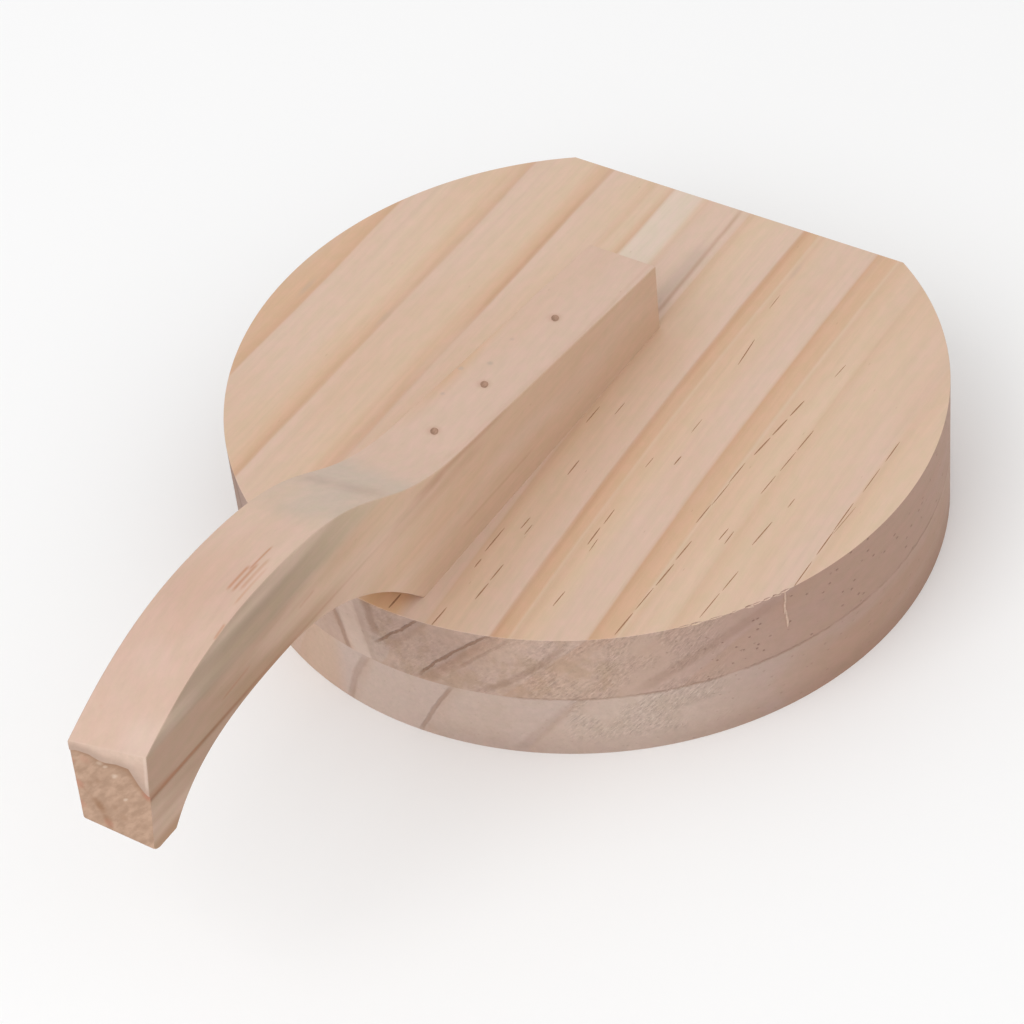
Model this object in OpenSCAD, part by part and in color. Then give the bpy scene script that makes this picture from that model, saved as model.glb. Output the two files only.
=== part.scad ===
// Wooden tortilla press: two round boards with a flat back, hinged together there, and
// a goose-neck handle nailed to the upper board, which is the lid.
// X runs to the right, Y to the back and Z up. The origin is the middle of the round
// boards, on the face that the press stands on. All sizes are in millimetres.

/* [Boards] */
// Diameter of both round boards
board_d = 178; // [160:1:220]
// Length of the flat at the back, where the hinges are screwed on
flat_len = 97; // [90:1:110]
// Thickness of the lower board
lower_t = 18.5; // [16:0.5:25]
// Thickness of the lid board
lid_t = 19.5; // [16:0.5:25]
// Bevel along the edges of the boards
edge_ease = 0.5; // [0.2:0.1:1.5]

/* [Handle] */
// Width of the handle, sawn from one board
handle_w = 19; // [15:0.5:25]
// Sideways place of the handle's middle, a little left of the lid's middle
handle_shift = -3; // [-8:0.5:8]
// How far behind the lid's middle the tail of the handle ends
tail_back = 25.5; // [10:0.5:50]
// Height of the tail above the lid
tail_h = 19.7; // [15:0.1:24]
// How far inside the lid's rim the neck starts to rise
neck_inset = 31; // [22:1:40]
// Height of the handle above the lid where the neck starts
neck_h = 28.6; // [25:0.1:32]
// How far outside the rim the crest of the goose neck lies
crest_out = 47; // [40:1:54]
// Height of the crest above the lid
crest_h = 51.4; // [45:0.1:60]
// How far the front end of the handle stands outside the rim
reach = 93.8; // [85:0.1:105]
// Height of the end's upper corner above the lid
end_top_h = 38.7; // [34:0.1:42]
// How far the end's upper corner lies behind its lower one
end_lean = 2.4; // [0:0.1:6]
// How far inside the rim the underside lifts off the lid
heel_inset = 7.5; // [4:0.5:14]
// How far outside the rim the finger hollow is highest
hollow_out = 42; // [34:1:50]
// Height of the finger hollow above the lid
hollow_h = 27.6; // [22:0.1:30]
// Height of the toe, the flat under the end, above the lid
toe_h = 13.5; // [12:0.1:20]
// Length of the toe
toe_len = 8.3; // [6:0.1:12]
// Rounding of the corner between the end and the toe
toe_round = 2.6; // [1:0.1:4]

/* [Handle brads] */
// Diameter of a brad's shank
brad_d = 1.2; // [1:0.1:1.6]
// Diameter of a brad's head
brad_head_d = 1.8; // [1.7:0.1:2.4]
// Thickness of a brad's head
brad_head_t = 0.6; // [0.4:0.1:1]
// Depth that the heads are driven below the wood
brad_set = 1.5; // [0.8:0.1:3]
// Wood left between the deepest brad and the lid's pressing face
brad_stop = 3; // [2:0.5:6]
// Distance from the handle's tail to the back brad
brad_back = 31; // [12:1:36]
// Distance from the handle's tail to the middle brad
brad_middle = 62; // [50:1:68]
// Distance from the handle's tail to the front brad
brad_front = 83; // [76:1:88]

/* [Hinges] */
// Distance between the middles of the two hinges
hinge_spread = 52; // [44:1:58]
// Length of a hinge
hinge_len = 30; // [26:1:36]
// Width of a leaf, from the pin's axis to its far edge
leaf_w = 11; // [10:0.5:14]
// Thickness of a leaf
leaf_t = 1.2; // [1:0.1:1.6]
// Diameter of the hinge pin
pin_d = 2.4; // [2:0.1:3]
// Number of knuckles on a hinge
knuckles = 5; // [3:2:7]
// Diameter of the peened ends of the pin
pin_head_d = 3.8; // [3.4:0.1:4.4]
// Thickness of the peened ends
pin_head_t = 0.8; // [0.6:0.1:1.2]

/* [Hinge screws] */
// Diameter of a hinge screw
screw_d = 2.6; // [2.2:0.1:3]
// Length of a hinge screw, with its head
screw_len = 12; // [10:1:16]
// Diameter of a screw's head
screw_head_d = 5; // [4.4:0.1:5.6]
// Distance between the two screws of a leaf
screw_spacing = 18; // [14:1:20]
// Distance from the pin's axis to the row of screws
screw_line = 7; // [6.5:0.1:8]
// Length of a screw's point
screw_point = 3; // [2:0.5:4]
// Width of the slot in a screw's head
slot_w = 0.7; // [0.5:0.1:1]
// Depth of that slot
slot_depth = 0.6; // [0.3:0.1:0.8]

/* [Clearances] */
// Radial gap between the hinge pin and the knuckles
running_gap = 0.05; // [0.02:0.01:0.1]
// Gap between neighbouring knuckles
knuckle_gap = 0.2; // [0.1:0.05:0.4]
// Gap between a leaf and the other leaf's knuckles
notch_gap = 0.3; // [0.2:0.05:0.6]
// Gap between the knuckles and the backs of the boards
barrel_gap = 0.25; // [0.2:0.05:0.5]
// Radial gap round brads and screws in the wood
hole_gap = 0.05; // [0.02:0.01:0.2]
// Empty depth of a hole beyond the point of its brad or screw
hole_end = 0.5; // [0.2:0.1:1]

/* [Hidden] */

LEFT = -1;
RIGHT = 1;
pine_side = [0.76, 0.67, 0.60];
pine_top = [0.85, 0.73, 0.60];
pine_handle = [0.74, 0.62, 0.50];
brass = [0.78, 0.64, 0.36];
steel = [0.62, 0.62, 0.64];

$fn = 48;
rim_fn = 180;
curve_steps = 14;
over = 1; // how far a cut runs past the face it opens

// Boards
board_r = board_d / 2;
flat_back = sqrt(pow(board_r, 2) - pow(flat_len / 2, 2));
lid_top = lower_t + lid_t;

// Handle outline, as [y, height above the lid]
rim = -board_r;
neck = [rim + neck_inset, neck_h];
tail_rise = (neck_h - tail_h) / (tail_back - neck[0]);
crest = [rim - crest_out, crest_h];
end_bottom = [rim - reach, toe_h];
end_top = [rim - reach + end_lean, end_top_h];
heel = [rim + heel_inset, 0];
hollow_top = [rim - hollow_out, hollow_h];
toe = [rim - reach + toe_len, toe_h];

// Guides: how far each curve of the outline leans on the line it leaves or joins
neck_guide = 38;
crest_guide = 46;
droop_guide = 18;
end_guide = 15;
heel_guide = 20;
hollow_guide = 21;
toe_guide = 15;
round_guide = 0.55; // as a share of the rounding, which makes it close to an arc

// Brads
brad_r = brad_d / 2;
brad_head_r = brad_head_d / 2;
brad_len = top_height(tail_back - brad_back) - brad_set + lid_t - brad_stop;

// Hinges
pin_r = pin_d / 2;
barrel_r = pin_r + running_gap + leaf_t;
axis_out = barrel_r + barrel_gap;
knuckle_len = (hinge_len - (knuckles - 1) * knuckle_gap) / knuckles;
knuckle_step = knuckle_len + knuckle_gap;
screw_r = screw_d / 2;
screw_head_r = screw_head_d / 2;
screw_head_h = screw_head_r - screw_r;
point_r = 0.2;

// Height of the handle's straight back part above the lid at a place along Y
function top_height(y) = tail_h + (tail_back - y) * tail_rise;

// One point of a curve from a to d, which leaves a towards b and comes to d from c
function curve_point(a, b, c, d, t) =
    pow(1 - t, 3) * a + 3 * pow(1 - t, 2) * t * b + 3 * (1 - t) * pow(t, 2) * c + pow(t, 3) * d;

// All points of such a curve after its first one
function curve(a, b, c, d) =
    [for (i = [1 : curve_steps]) curve_point(a, b, c, d, i / curve_steps)];

function unit(v) = v / norm(v);

// Rounded corner at the end of the handle, from the end's face to the toe
end_up = unit(end_top - end_bottom);
toe_back = unit(toe - end_bottom);
corner_start = end_bottom + toe_round * end_up;
corner_end = end_bottom + toe_round * toe_back;

// Side view of the handle: over the back, neck and crest, round the end, and back under
handle_outline = concat(
    [[tail_back, 0], [tail_back, tail_h], neck],
    curve(neck, neck + neck_guide * unit([-1, tail_rise]), crest + [crest_guide, 0], crest),
    curve(crest, crest - [droop_guide, 0], end_top + end_guide * unit([0.87, 0.49]), end_top),
    [corner_start],
    curve(corner_start, corner_start - round_guide * toe_round * end_up,
        corner_end - round_guide * toe_round * toe_back, corner_end),
    [toe],
    curve(toe, toe + toe_guide * unit([0.64, 0.77]), hollow_top - [toe_guide, 0], hollow_top),
    curve(hollow_top, hollow_top + [hollow_guide, 0],
        heel + heel_guide * unit([-0.64, 0.77]), heel)
);

// Draws its child once for each place along the row of a leaf's screws
module screw_places() {
    for (end = [LEFT, RIGHT])
        translate([end * screw_spacing / 2, leaf_t - axis_out, screw_line])
            rotate([90, 0, 0])
                children();
}

// Moves its child to one hinge: the axis of the pin, at the seam behind the boards
module at_hinge(side) {
    translate([side * hinge_spread / 2, flat_back + axis_out, lower_t])
        children();
}

// Turns a lid leaf or its screws into those of the lower board
module below() {
    mirror([0, 0, 1])
        children();
}

// Round board with a flat back and bevelled edges, standing on the plane of its underside
module board(thick) {
    intersection() {
        rotate_extrude($fn = rim_fn)
            polygon([
                [0, 0], [board_r - edge_ease, 0], [board_r, edge_ease],
                [board_r, thick - edge_ease], [board_r - edge_ease, thick], [0, thick]
            ]);
        translate([-board_r - over, 0, 0])
            rotate([90, 0, 90])
                linear_extrude(board_d + 2 * over)
                    polygon([
                        [-board_r - over, -over], [flat_back - edge_ease - over, -over],
                        [flat_back, edge_ease], [flat_back, thick - edge_ease],
                        [flat_back - edge_ease - over, thick + over], [-board_r - over, thick + over]
                    ]);
    }
}

// Drilled holes for the two screws of one leaf
module screw_holes() {
    screw_places()
        cylinder(r = screw_r + hole_gap, h = screw_len + hole_end);
}

module lower_board() {
    color(pine_side)
        difference() {
            board(lower_t);
            for (side = [LEFT, RIGHT])
                at_hinge(side)
                    below()
                        screw_holes();
        }
}

module lid_board() {
    color(pine_top)
        difference() {
            translate([0, 0, lower_t])
                board(lid_t);
            for (side = [LEFT, RIGHT])
                at_hinge(side)
                    screw_holes();
            brad_holes();
        }
}

// Moves its child to the top of each brad's head, pointing down
module brad_places() {
    for (place = [brad_back, brad_middle, brad_front])
        translate([handle_shift, tail_back - place,
                lid_top + top_height(tail_back - place) - brad_set])
            mirror([0, 0, 1])
                children();
}

// The path of each brad through the wood, with the open hole over its head
module brad_holes() {
    brad_places() {
        cylinder(r = brad_r + hole_gap, h = brad_len + hole_end);
        translate([0, 0, -brad_set - over])
            cylinder(r = brad_head_r + hole_gap, h = brad_set + over + brad_head_t + hole_gap);
    }
}

module handle() {
    color(pine_handle)
        difference() {
            translate([handle_shift - handle_w / 2, 0, lid_top])
                rotate([90, 0, 90])
                    linear_extrude(handle_w)
                        polygon(handle_outline);
            brad_holes();
        }
}

module handle_brads() {
    color(steel)
        brad_places() {
            cylinder(r = brad_head_r, h = brad_head_t);
            cylinder(r = brad_r, h = brad_len - screw_point);
            translate([0, 0, brad_len - screw_point])
                cylinder(r1 = brad_r, r2 = point_r, h = screw_point);
        }
}

// Moves its child to the middle of one knuckle, with the pin's axis along Z
module at_knuckle(number) {
    translate([(number + 0.5) * knuckle_step - (hinge_len + knuckle_gap) / 2, 0, 0])
        rotate([0, 90, 0])
            children();
}

// One leaf above the pin's axis. Its knuckles are every second one, from the first given,
// and it is notched where the other leaf's knuckles turn.
module leaf(first) {
    notch_h = barrel_r + notch_gap;
    color(brass)
        difference() {
            union() {
                translate([-hinge_len / 2, -axis_out, 0])
                    cube([hinge_len, leaf_t, leaf_w]);
                for (number = [first : 2 : knuckles - 1])
                    at_knuckle(number)
                        cylinder(r = barrel_r, h = knuckle_len, center = true);
            }
            for (number = [1 - first : 2 : knuckles - 1])
                at_knuckle(number)
                    cube([2 * notch_h, 2 * notch_h, knuckle_len + 2 * knuckle_gap], center = true);
            rotate([0, 90, 0])
                cylinder(r = pin_r + running_gap, h = hinge_len + 2 * over, center = true);
            screw_places()
                cylinder(r1 = screw_head_r + hole_gap, r2 = screw_r + hole_gap, h = screw_head_h);
            screw_places()
                cylinder(r = screw_r + hole_gap, h = leaf_t + over);
        }
}

// Pin with both ends peened over, so that it can't slide out
module hinge_pin() {
    pin_len = hinge_len + 2 * running_gap;
    color(steel)
        rotate([0, 90, 0]) {
            cylinder(r = pin_r, h = pin_len, center = true);
            for (end = [0, 180])
                rotate([end, 0, 0])
                    translate([0, 0, pin_len / 2])
                        cylinder(r1 = pin_head_d / 2, r2 = pin_r, h = pin_head_t);
        }
}

// Countersunk wood screw with a slotted head, drawn from the top of its head
module wood_screw() {
    difference() {
        union() {
            cylinder(r1 = screw_head_r, r2 = screw_r, h = screw_head_h);
            cylinder(r = screw_r, h = screw_len - screw_point);
            translate([0, 0, screw_len - screw_point])
                cylinder(r1 = screw_r, r2 = point_r, h = screw_point);
        }
        cube([screw_head_d + over, slot_w, 2 * slot_depth], center = true);
    }
}

module leaf_screws() {
    color(steel)
        screw_places()
            wood_screw();
}

lower_board();
lid_board();
handle();
handle_brads();
at_hinge(LEFT) below() leaf(0);  // left_hinge_lower_leaf
at_hinge(LEFT) leaf(1);  // left_hinge_lid_leaf
at_hinge(LEFT) hinge_pin();  // left_hinge_pin
at_hinge(LEFT) below() leaf_screws();  // left_hinge_lower_screws
at_hinge(LEFT) leaf_screws();  // left_hinge_lid_screws
at_hinge(RIGHT) below() leaf(0);  // right_hinge_lower_leaf
at_hinge(RIGHT) leaf(1);  // right_hinge_lid_leaf
at_hinge(RIGHT) hinge_pin();  // right_hinge_pin
at_hinge(RIGHT) below() leaf_screws();  // right_hinge_lower_screws
at_hinge(RIGHT) leaf_screws();  // right_hinge_lid_screws
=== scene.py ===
"""Looks of a tortilla press: raw pine boards and goose-neck handle, steel brads, brass hinges."""

import math
import random

import bmesh
import bpy
from mathutils import Matrix, Vector


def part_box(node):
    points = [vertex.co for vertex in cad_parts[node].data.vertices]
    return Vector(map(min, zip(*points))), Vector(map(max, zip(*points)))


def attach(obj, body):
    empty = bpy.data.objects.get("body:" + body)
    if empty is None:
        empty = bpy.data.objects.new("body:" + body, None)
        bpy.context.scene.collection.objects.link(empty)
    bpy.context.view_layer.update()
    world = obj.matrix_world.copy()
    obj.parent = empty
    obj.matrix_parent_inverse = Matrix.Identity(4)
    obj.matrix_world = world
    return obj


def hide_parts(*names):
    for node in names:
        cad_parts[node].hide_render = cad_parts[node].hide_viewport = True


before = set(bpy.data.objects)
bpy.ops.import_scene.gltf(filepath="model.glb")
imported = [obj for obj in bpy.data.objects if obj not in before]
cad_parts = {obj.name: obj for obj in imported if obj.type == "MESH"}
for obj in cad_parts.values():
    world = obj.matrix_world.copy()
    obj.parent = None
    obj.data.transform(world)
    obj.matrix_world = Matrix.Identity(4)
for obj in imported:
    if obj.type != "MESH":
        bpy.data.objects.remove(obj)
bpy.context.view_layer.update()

MM = 0.001
MM_PER_METRE = 1000

# Screen colours: their full level, and the curve from them to linear light
FULL = 255.0
CURVE_START = 0.04045
CURVE_SLOPE = 12.92
CURVE_OFFSET = 0.055
CURVE_POWER = 2.4

# Boards, from the frame
LOWER_LOW, LOWER_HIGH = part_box("lower_board")
LID_LOW, LID_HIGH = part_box("lid_board")
HANDLE_LOW, HANDLE_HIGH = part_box("handle")
BOARD_R = LID_HIGH.x
FLAT_BACK = LID_HIGH.y
LID_TOP = LID_HIGH.z
SEAM = LID_LOW.z
HANDLE_MIDDLE = (HANDLE_LOW.x + HANDLE_HIGH.x) / 2
HANDLE_HALF = (HANDLE_HIGH.x - HANDLE_LOW.x) / 2

# Edges as sawn and lightly sanded
RIM_STEPS = 360
BOARD_EDGE = 0.15 * MM
HANDLE_EDGE = 0.4 * MM
EDGE_STEPS = 3
LENS_STEPS = 8
SHARP = math.radians(40)
LEVEL = math.radians(0.5)
FLAT_SHADED = math.radians(1.5)
MERGED = 0.01 * MM
AT_HEIGHT = 0.1 * MM

# Camera: a cook's view, from the front right and above
CAMERA_AIM = Vector((-14.918, -15.655, 0)) * MM
CAMERA_AZIMUTH = 36.914
CAMERA_ELEVATION = 43.338
CAMERA_ROLL = -6.596
CAMERA_DISTANCE = 873.02 * MM
CAMERA_LENS = 121.93

# Studio: a pale floor, a soft lamp in front of the handle, and white light from all round.
# Places and sizes in metres.
FLOOR_WHITE = (0.92, 0.92, 0.92, 1)
FLOOR_SIZE = 6
FLOOR_ROUGHNESS = 0.9
LAMP_PLACE = (-0.2, -1.2, 1.3)
LAMP_SIZE = 1.4
LAMP_WATTS = 10
TENT_LEVEL = 0.86
TENT_LEAN = 0.1

random.seed(7)


def srgb(red, green, blue):
    """A screen colour, 0 to 255, as the linear colour that Blender works in."""
    linear = []
    for level in (red, green, blue):
        share = level / FULL
        if share <= CURVE_START:
            linear.append(share / CURVE_SLOPE)
        else:
            linear.append(((share + CURVE_OFFSET) / (1 + CURVE_OFFSET)) ** CURVE_POWER)
    return (*linear, 1.0)


# ---------------------------------------------------------------- shader writing

class Signal:
    """A number that varies over a surface. Arithmetic on it adds Math nodes."""

    def __init__(self, paint, socket):
        self.paint = paint
        self.socket = socket

    def math(self, operation, *others):
        return self.paint.node("ShaderNodeMath", {"operation": operation}, [self, *others])

    def __add__(self, other):
        return self.math("ADD", other)

    def __sub__(self, other):
        return self.math("SUBTRACT", other)

    def __rsub__(self, other):
        return self * -1 + other

    def __mul__(self, other):
        return self.math("MULTIPLY", other)

    def __truediv__(self, other):
        return self.math("DIVIDE", other)

    def __pow__(self, power):
        return self.math("POWER", power)

    def __abs__(self):
        return self.math("ABSOLUTE")

    __radd__ = __add__
    __rmul__ = __mul__

    def highest(self, other):
        return self.math("MAXIMUM", other)

    def lowest(self, other):
        return self.math("MINIMUM", other)

    def rise(self, low, high):
        """0 below low, 1 above high, and a smooth rise between them."""
        return self.paint.node(
            "ShaderNodeMapRange",
            {"interpolation_type": "SMOOTHSTEP", "clamp": True},
            {"Value": self, "From Min": low, "From Max": high, "To Min": 0.0, "To Max": 1.0},
        )

    def fall(self, low, high):
        """1 below low, 0 above high, and a smooth fall between them."""
        return 1 - self.rise(low, high)

    def band(self, low, high, soft):
        """1 between low and high, fading over a soft width outside them."""
        return self.rise(low - soft, low) * self.fall(high, high + soft)


# A stroke fades over this share of its length at each tip, and from this share of its width
STROKE_TIP = 0.2
STROKE_HALF = 0.45
# A spot is full inside the first share of its size, and gone beyond the second
SPOT_CORE = 0.15
SPOT_EDGE = 0.75


class Paint:
    """The nodes of one material, or of the world, written as expressions."""

    def __init__(self, owner, shader):
        owner.use_nodes = True
        self.owner = owner
        self.tree = owner.node_tree
        self.shader = self.tree.nodes[shader]

    def node(self, kind, settings, sockets, result=0):
        """Adds a node: its settings, then its sockets, and gives back one of its results."""
        made = self.tree.nodes.new(kind)
        for setting, value in settings.items():
            if setting == "stops":
                self.set_stops(made.color_ramp, value)
            else:
                setattr(made, setting, value)
        pairs = sockets.items() if isinstance(sockets, dict) else enumerate(sockets)
        for key, value in pairs:
            self.plug(made.inputs[key], value)
        return Signal(self, made.outputs[result])

    def plug(self, socket, value):
        if isinstance(value, Signal):
            self.tree.links.new(value.socket, socket)
        else:
            socket.default_value = value

    def set_stops(self, ramp, stops):
        for number, (place, colour) in enumerate(stops):
            if number < 2:
                stop = ramp.elements[number]
                stop.position = place
            else:
                stop = ramp.elements.new(place)
            stop.color = colour

    def axes(self, vector):
        """The three parts of a vector."""
        return [self.node("ShaderNodeSeparateXYZ", {}, [vector], part) for part in range(3)]

    def vector(self, x, y, z):
        return self.node("ShaderNodeCombineXYZ", {}, [x, y, z])

    def noise(self, vector, width, length, detail=2.0, rough=0.5):
        """Noise drawn out along the grain: the width and length of its marks, about 0.5."""
        scaled = self.node(
            "ShaderNodeMapping",
            {"vector_type": "POINT"},
            {"Vector": vector, "Scale": (1 / width, 1 / length, 1 / width)},
        )
        return self.node(
            "ShaderNodeTexNoise",
            {"noise_dimensions": "3D"},
            {"Vector": scaled, "Scale": 1.0, "Detail": detail, "Roughness": rough},
        )

    def dots(self, vector, spacing, length, size, core=0.6):
        """Scattered spots drawn out along the grain, with a dense core of that share."""
        scaled = self.node(
            "ShaderNodeMapping",
            {"vector_type": "POINT"},
            {"Vector": vector, "Scale": (1 / spacing, 1 / length, 1 / spacing)},
        )
        distance = self.node(
            "ShaderNodeTexVoronoi",
            {"voronoi_dimensions": "3D", "feature": "F1"},
            {"Vector": scaled, "Scale": 1.0, "Randomness": 1.0},
        )
        return distance.fall(size / spacing * core, size / spacing)

    def stroke(self, across, along, start, end, width, bow=0.0, soft=0.5):
        """A mark drawn from start to end on two axes, in mm. A bow bends it to one side."""
        run = Vector(end) - Vector(start)
        unit = run.normalized()
        from_start = across - start[0]
        beyond = along - start[1]
        travelled = (from_start * unit.x + beyond * unit.y) / run.length
        aside = from_start * unit.y - beyond * unit.x
        if bow:
            aside = aside - travelled * (1 - travelled) * (4 * bow)
        tips = travelled.rise(0, STROKE_TIP) * travelled.fall(1 - STROKE_TIP, 1)
        half = width * STROKE_HALF
        edge = width * soft / 2
        return abs(aside).fall(half - edge, half + edge) * tips

    def spot(self, across, along, centre, size):
        """A soft round spot."""
        from_centre = across - centre[0]
        beyond = along - centre[1]
        away = (from_centre * from_centre + beyond * beyond) ** 0.5
        return away.fall(size * SPOT_CORE, size * SPOT_EDGE)

    def mix(self, factor, first, second, blend="MIX"):
        return self.node(
            "ShaderNodeMix",
            {"data_type": "RGBA", "blend_type": blend},
            {0: factor, 6: first, 7: second},
            2,
        )

    def ramp(self, signal, stops):
        """A run of colours: each stop is a place and its colour. Also gives their alpha."""
        low = stops[0][0]
        high = stops[-1][0]
        shares = [((place - low) / (high - low), colour) for place, colour in stops]
        share = (signal - low) / (high - low)
        colour = self.node("ShaderNodeValToRGB", {"stops": shares}, [share])
        alpha = Signal(self, colour.socket.node.outputs["Alpha"])
        return colour, alpha

    def bump(self, height, distance, strength=1.0):
        return self.node(
            "ShaderNodeBump",
            {},
            {"Height": height, "Distance": distance, "Strength": strength},
        )

    def set(self, **sockets):
        """Sets the shader's own sockets: numbers where it is even, signals where it varies."""
        for socket, value in sockets.items():
            self.plug(self.shader.inputs[socket.replace("_", " ")], value)
        return self.owner


def new_paint(name):
    """A new material, with the places and directions that its patterns are drawn from."""
    paint = Paint(bpy.data.materials.new(name), "Principled BSDF")
    paint.place = paint.node("ShaderNodeTexCoord", {}, {}, "Object")
    paint.normal = paint.node("ShaderNodeTexCoord", {}, {}, "Normal")
    return paint


def in_mm(place):
    """The x, y and z of a place, in mm."""
    return [part * MM_PER_METRE for part in place]


# ---------------------------------------------------------------- pine

PINK_WOOD = srgb(210, 182, 163)
CREAM_WOOD = srgb(211, 183, 158)
PALE_WOOD = srgb(214, 194, 177)
TAN_WOOD = srgb(206, 171, 142)
PEACH_WOOD = srgb(205, 166, 136)
LATE_EDGE = srgb(188, 144, 112)
GREY_WOOD_AND_SHADE = srgb(197, 179, 161)
BROWN_LINE = srgb(158, 112, 84)
RESIN = srgb(160, 122, 94)
BRUISED = srgb(178, 146, 126)
GREY_MARK = srgb(180, 160, 146)
END_WOOD = srgb(213, 191, 177)
END_LINE = srgb(128, 96, 80)
RIM_LINE = srgb(130, 96, 74)
TORN_PALE = srgb(226, 206, 188)
SPLINTER = srgb(196, 168, 150)
ARCH_WARM_SHADE = srgb(222, 178, 132)
LID_RIM_SHADE = srgb(228, 222, 222)
PLANK_SHADE = srgb(244, 241, 241)
LOWER_RIM_SHADE = srgb(231, 232, 238)
LOWER_LEFT_SHADE = srgb(232, 225, 221)
SIDE_SHADE = srgb(226, 217, 220)
LEFT_SHADE = srgb(190, 182, 182)
PLAIN_WHITE = (1, 1, 1, 1)
TORN_TAN = srgb(168, 137, 115)
TORN_ORANGE = srgb(186, 154, 132)
RED_STAIN = srgb(184, 126, 106)
FRONT_SIDE_SHADE = srgb(200, 192, 190)
SIDE_WARM_SHADE = srgb(248, 243, 233)
DROOP_SHADE = srgb(246, 240, 240)
TOP_SHADE = srgb(251, 249, 249)
LOW_SIDE_SHADE = srgb(245, 240, 231)
LIP_FOOT_SHADE = srgb(194, 174, 156)
CORNER_HIGHLIGHT = srgb(222, 198, 182)
SHADOW_BROWN = srgb(150, 114, 88)
LIP_SHADE = srgb(238, 228, 221)
FOLD_SHADE = srgb(174, 154, 138)
ROUGH_TAN = srgb(186, 160, 128)
DROOP_TAN = srgb(200, 166, 144)
DROOP_PALE = srgb(222, 200, 188)
GREENISH = (0.99, 1.012, 0.99, 1)
PINKISH = (1.014, 0.992, 1.014, 1)
DULL_FRONT = srgb(238, 235, 235)
ORANGE_STREAK = srgb(176, 118, 84)

# Finishes: how rough and how shiny the wood is, and how deep the relief of each surface
WOOD_ROUGHNESS = 0.6
TORN_ROUGHNESS = 0.8
WOOD_SHINE = 0.25
ROUGH_SHINE = 0.2
GRAIN_RELIEF = 0.12 * MM
TORN_RELIEF = 0.3 * MM
METAL_RELIEF = 0.02 * MM

# Metals: their bright and dull tones, and how rough the bright metal is
HINGE_METAL = (srgb(208, 178, 120), srgb(168, 136, 82), 0.3)
SCREW_METAL = (srgb(226, 202, 150), srgb(182, 152, 98), 0.26)
PIN_METAL = (srgb(196, 196, 200), srgb(140, 138, 138), 0.3)
BRAD_METAL = (srgb(150, 148, 146), srgb(92, 84, 78), 0.38)


def mixed(first, second, share):
    """A fixed colour between two others."""
    return tuple(a + (b - a) * share for a, b in zip(first, second))


def plain(colour):
    """A stop that is no growth line: alpha tells the end grain how dark a line is."""
    return (*colour[:3], 0.0)


# Where the wood ahead of a growth ring ends, where its line stands and where that has passed
RING_AHEAD = -0.7
RING_LINE = 0.1
RING_BODY = 0.9


def ring(start, fade, strength=1.0, ahead=PINK_WOOD, behind=CREAM_WOOD):
    """Stops of one growth ring: pale wood, a dark line, and its slow fade."""
    line = mixed(behind, LATE_EDGE, strength)
    body = mixed(behind, PEACH_WOOD, strength)
    return [
        (start + RING_AHEAD, plain(ahead)),
        (start + RING_LINE, (*line[:3], min(1, strength * 0.6 + 0.55))),
        (start + RING_BODY + fade * 0.2, plain(body)),
        (start + fade, plain(behind)),
    ]


def faded(paint, colour, grain):
    """Pink and tan clouds over the growth lines, drawn out along the grain."""
    worn = paint.noise(grain, 9, 70, detail=2.0)
    colour = paint.mix(worn.rise(0.45, 0.8) * 0.75, colour, PINK_WOOD)
    clouds = paint.noise(grain, 16, 90, detail=2.0)
    return paint.mix(clouds.rise(0.45, 0.75) * 0.35, colour, TAN_WOOD)


def flecked(paint, colour, grain, mottle):
    """Faint green and pink mottling, grey marks, and the ends of resin canals."""
    hue = paint.mix(mottle.rise(0.35, 0.65), GREENISH, PINKISH)
    colour = paint.mix(1.0, colour, hue, "MULTIPLY")
    marks = paint.dots(grain, 15, 70, 1.3, core=0.0)
    colour = paint.mix(marks * 0.35, colour, GREY_MARK)
    canals = paint.dots(grain, 3.2, 14, 0.14)
    return paint.mix(canals * 0.3, colour, RESIN)


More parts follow.
